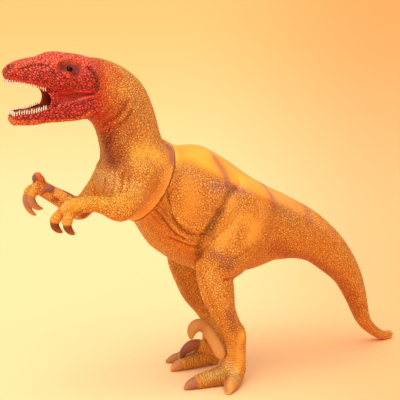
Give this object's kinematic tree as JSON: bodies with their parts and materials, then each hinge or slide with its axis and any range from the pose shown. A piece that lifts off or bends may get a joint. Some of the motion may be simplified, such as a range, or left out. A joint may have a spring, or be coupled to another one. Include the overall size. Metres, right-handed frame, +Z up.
{
  "type": "toy dinosaur figure",
  "caption": "Large soft vinyl toy raptor that stands on its feet and tail tip, with an open toothed mouth and a front half that swivels at a round seam behind the arms.",
  "frame": {"origin": "on the surface that the figure stands on, under the middle of its bounding box", "axes": "+Z up, -X towards the nose and +X towards the tail's end, -Y to the animal's left"},
  "size_m": [0.4556, 0.1168, 0.3525],
  "materials": {
    "rear_vinyl": "soft vinyl, satin, golden orange with mauve stripes and pebbled scales",
    "front_vinyl": "soft vinyl, satin, red head fading over the neck to golden orange",
    "fibre_fill": "matt white fibre stuffing",
    "tongue_vinyl": "soft vinyl, satin, dull pink brown",
    "tooth_plastic": "cream, semi-gloss",
    "eye_plastic": "black, glossy"
  },
  "bodies": {
    "rear": {"rear_shell": "rear_vinyl", "rear_fill": "fibre_fill"},
    "front": {"front_shell": "front_vinyl", "front_fill": "fibre_fill", "tongue": "tongue_vinyl", "upper_teeth": "tooth_plastic", "lower_teeth": "tooth_plastic", "left_eye": "eye_plastic", "right_eye": "eye_plastic"}
  },
  "joints": [
    {"name": "front_swivel", "type": "hinge", "parent": "rear", "child": "front", "pos_m": [-0.07989, 0.00125, 0.218], "axis": [-0.866, 0, 0.5], "continuous": true}
  ]
}
